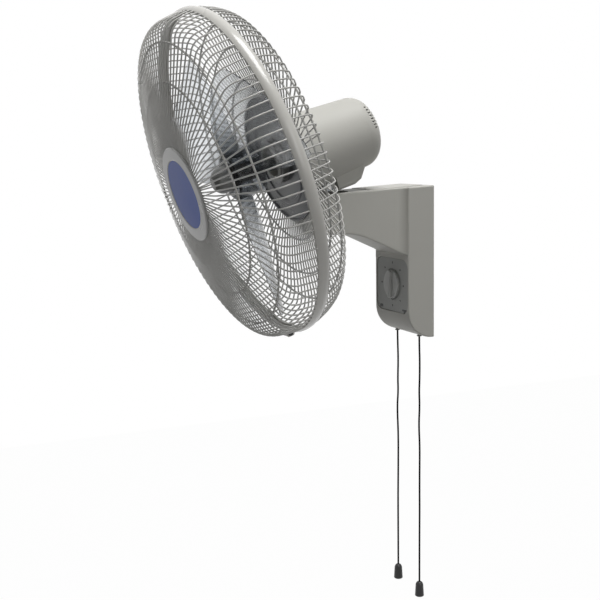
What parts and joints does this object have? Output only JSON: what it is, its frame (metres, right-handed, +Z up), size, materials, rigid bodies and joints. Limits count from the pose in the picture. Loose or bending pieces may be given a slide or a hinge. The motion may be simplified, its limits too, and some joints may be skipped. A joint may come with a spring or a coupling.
{
  "type": "wall mounted fan",
  "caption": "Wall fan with a boxy body and arm, turning and tilting motor head, clear blades in a round wire guard, a timer dial and two hanging pull cords.",
  "frame": {"origin": "centre of the wall plate's four screw holes, on the wall plane", "axes": "+Z up, +Y into the wall, the fan blows along -Y at rest, +X to the right of someone who faces the wall"},
  "size_m": [0.444, 0.3762, 0.8262],
  "materials": {
    "shell_plastic": "light warm grey moulded plastic, fine satin grain",
    "panel_plastic": "mid grey moulded plastic",
    "dial_plastic": "mid grey plastic with a slight gloss",
    "screw_steel": "zinc plated",
    "dark_screw": "blackened steel",
    "galvanised_steel": "galvanised sheet",
    "switch_plastic": "natural nylon",
    "slider_plastic": "white acetal",
    "capacitor_film": "light grey case",
    "terminal_plastic": "natural nylon",
    "rubber_black": "matt black rubber",
    "bearing_plastic": "white acetal",
    "motor_can": "drawn steel can",
    "bright_steel": "turned steel",
    "cord_weave": "thin black braided cord",
    "pull_plastic": "black plastic",
    "neck_casting": "grey painted casting",
    "spring_steel": "oiled spring steel",
    "lamination_steel": "stacked steel laminations",
    "copper_enamel": "enamelled copper wire, varnished",
    "die_cast": "pressure die cast",
    "sintered_bronze": "sintered bronze",
    "rotor_steel": "cast cage on laminations",
    "smoke_blades": "clear plastic with a light smoke tint, glossy",
    "nut_plastic": "smoke grey plastic",
    "grey_coated_steel": "light grey coated wire",
    "rear_plate_steel": "dark grey coated pressing",
    "ring_plastic": "light grey plastic with a soft sheen",
    "badge_trim": "silver grey plastic",
    "badge_face": "plain blue disc with no marks"
  },
  "bodies": {
    "wall_body": {"wall_plate": "galvanised_steel", "body_shell": "shell_plastic", "arm_lid": "shell_plastic", "lid_screw": "screw_steel", "control_panel": "panel_plastic", "chassis": "galvanised_steel", "chassis_screws": "screw_steel", "lock_screw": "screw_steel", "timer_case": "switch_plastic", "speed_switch_case": "switch_plastic", "swing_switch_case": "switch_plastic", "capacitor": "capacitor_film", "terminal_block": "terminal_plastic", "cord_eyelets": "panel_plastic", "supply_grommet": "rubber_black", "pivot_bush": "bearing_plastic", "swing_motor": "motor_can", "swing_motor_screws": "screw_steel"},
    "timer_knob": {"timer_dial": "dial_plastic", "dial_shaft": "bright_steel"},
    "speed_line": {"speed_slider": "slider_plastic", "speed_cord": "cord_weave", "speed_pull": "pull_plastic"},
    "swing_line": {"swing_slider": "slider_plastic", "swing_cord": "cord_weave", "swing_pull": "pull_plastic"},
    "drive_pinion": {"swing_pinion": "bearing_plastic"},
    "neck_turret": {"neck": "neck_casting", "swing_gear": "bearing_plastic", "neck_washer": "bearing_plastic", "neck_clip": "spring_steel", "tilt_washers": "bearing_plastic"},
    "head": {"tilt_bracket": "galvanised_steel", "tilt_bolt": "bright_steel", "tilt_nut": "bright_steel", "motor_housing": "shell_plastic", "motor_front_cover": "shell_plastic", "stator_core": "lamination_steel", "stator_windings": "copper_enamel", "front_shield": "die_cast", "rear_shield": "die_cast", "motor_bearings": "sintered_bronze", "housing_screws": "screw_steel", "rear_guard_plate": "rear_plate_steel", "guard_plate_nut": "nut_plastic", "rear_guard_wires": "grey_coated_steel", "rear_guard_hoops": "grey_coated_steel", "guard_ring": "ring_plastic", "clamp_bolt": "dark_screw", "clamp_nut": "screw_steel", "front_guard_wires": "grey_coated_steel", "front_guard_hoops": "grey_coated_steel", "badge_ring": "badge_trim", "badge_inlay": "badge_face"},
    "rotor": {"motor_shaft": "bright_steel", "rotor_core": "rotor_steel", "fan_blades": "smoke_blades", "hub_insert": "sintered_bronze", "spinner_nut": "nut_plastic"}
  },
  "joints": [
    {"name": "timer_turn", "type": "hinge", "parent": "wall_body", "child": "timer_knob", "pos_m": [0, -0.04, -0.035], "axis": [0, 1, 0], "range_deg": [0, 315]},
    {"name": "speed_pull_slide", "type": "slide", "parent": "wall_body", "child": "speed_line", "axis": [0, 0, -1], "range_m": [0, 0.012], "stiffness_N_per_m": 400, "springref_m": -0.003},
    {"name": "swing_pull_slide", "type": "slide", "parent": "wall_body", "child": "swing_line", "axis": [0, 0, -1], "range_m": [0, 0.012], "stiffness_N_per_m": 400, "springref_m": -0.003},
    {"name": "swing", "type": "hinge", "parent": "wall_body", "child": "neck_turret", "pos_m": [0, -0.141, 0.09], "axis": [0, 0, 1], "range_deg": [-45, 45]},
    {"name": "pinion_turn", "type": "hinge", "parent": "wall_body", "child": "drive_pinion", "pos_m": [0, -0.111, 0.06], "axis": [0, 0, 1], "range_deg": [-180, 180]},
    {"name": "tilt", "type": "hinge", "parent": "neck_turret", "child": "head", "pos_m": [0, -0.142, 0.107], "axis": [1, 0, 0], "range_deg": [-15, 2]},
    {"name": "fan_spin", "type": "hinge", "parent": "head", "child": "rotor", "pos_m": [0, -0.27, 0.124], "axis": [0, -0.9521, -0.3057], "continuous": true}
  ],
  "couplings": [
    {"joint": "pinion_turn", "follows": "swing", "ratio": -4}
  ]
}
